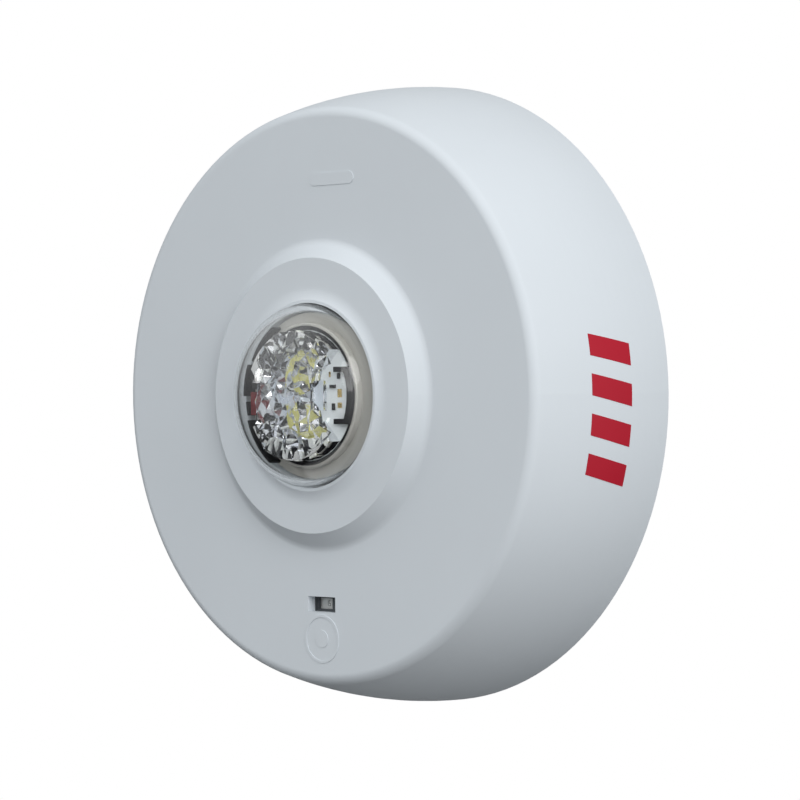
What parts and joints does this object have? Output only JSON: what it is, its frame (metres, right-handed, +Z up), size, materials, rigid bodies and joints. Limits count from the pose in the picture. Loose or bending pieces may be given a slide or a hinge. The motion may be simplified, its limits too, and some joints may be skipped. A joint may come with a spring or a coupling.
{
  "type": "horn strobe",
  "caption": "Round wall-mounted horn strobe with a domed clear lens on a raised platform, hooked onto a mounting plate.",
  "frame": {"origin": "centre of the mounting plate's rear face, which lies on the wall", "axes": "+Z up, +Y into the wall along the device's axis, -Y out of the front face"},
  "size_m": [0.1728, 0.0635, 0.1728],
  "materials": {
    "housing_plastic": "fine moulded texture",
    "cover_plastic": "plain moulded",
    "plate_plastic": "plain moulded",
    "black_plastic": "moulded black",
    "carrier_plastic": "plain moulded",
    "clear_lens": "clear polycarbonate, polished",
    "clear_optic": "clear acrylic, polished",
    "seal_rubber": "matt",
    "light_board_white": "white solder mask",
    "emitter_white": "ceramic",
    "phosphor": "yellow silicone",
    "reflector_silver": "vacuum metallised",
    "status_red": "red moulded",
    "board_green": "green solder mask",
    "capacitor_sleeve": "shrink sleeve",
    "copper_winding": "enamelled wire",
    "ribbon_amber": "polyimide film",
    "contact_brass": "tin-free brass",
    "screw_steel": "zinc plated",
    "card_white": "printed card",
    "selector_orange": "plain moulded"
  },
  "bodies": {
    "wall_plate": {"mounting_plate": "plate_plastic", "terminal_block": "black_plastic", "terminal_clips": "contact_brass", "terminal_screws": "screw_steel", "clamp_plates": "contact_brass", "shorting_spring": "contact_brass"},
    "head": {"front_housing": "housing_plastic", "lens_dome": "clear_lens", "lens_seal": "seal_rubber", "window_bezel": "black_plastic", "optic_carrier": "carrier_plastic", "optic_shroud": "black_plastic", "light_board": "light_board_white", "emitter_packages": "emitter_white", "emitter_phosphors": "phosphor", "emitter_optics": "clear_optic", "reflector": "reflector_silver", "status_light": "status_red", "light_ribbon": "ribbon_amber", "main_board": "board_green", "storage_capacitors": "capacitor_sleeve", "inductor": "copper_winding", "power_transistors": "black_plastic", "controller_chip": "black_plastic", "blade_holder": "black_plastic", "contact_blades": "contact_brass", "horn_chamber": "black_plastic", "piezo_disc": "contact_brass", "horn_ring": "black_plastic", "piezo_contacts": "contact_brass", "candela_switch_body": "black_plastic", "tone_switch_body": "black_plastic", "rear_cover": "cover_plastic", "rear_cover_screws": "screw_steel", "thread_insert": "contact_brass"},
    "candela_setting": {"candela_slider": "card_white", "indicator_card": "card_white"},
    "tone_setting": {"tone_selector": "selector_orange"},
    "screw_retainer": {"screw_clip": "screw_steel"},
    "screw": {"retaining_screw": "screw_steel"}
  },
  "joints": [
    {"name": "head_swing", "type": "hinge", "parent": "wall_plate", "child": "head", "pos_m": [0, -0.0032, 0.0806], "axis": [-1, 0, 0], "range_deg": [0, 12]},
    {"name": "candela_slide", "type": "slide", "parent": "head", "child": "candela_setting", "axis": [1, 0, 0], "range_m": [0, 0.016]},
    {"name": "tone_turn", "type": "hinge", "parent": "head", "child": "tone_setting", "pos_m": [0.028, -0.014, -0.052], "axis": [0, 1, 0], "range_deg": [0, 300]},
    {"name": "screw_travel", "type": "slide", "parent": "head", "child": "screw_retainer", "axis": [0, 0, -1], "range_m": [0, 0.002]},
    {"name": "screw_turn", "type": "hinge", "parent": "screw_retainer", "child": "screw", "pos_m": [0, -0.007, -0.082], "axis": [0, 0, -1], "range_deg": [0, 1440]}
  ],
  "couplings": [
    {"joint": "screw_turn", "follows": "screw_travel", "rad_per_m": 12566}
  ]
}
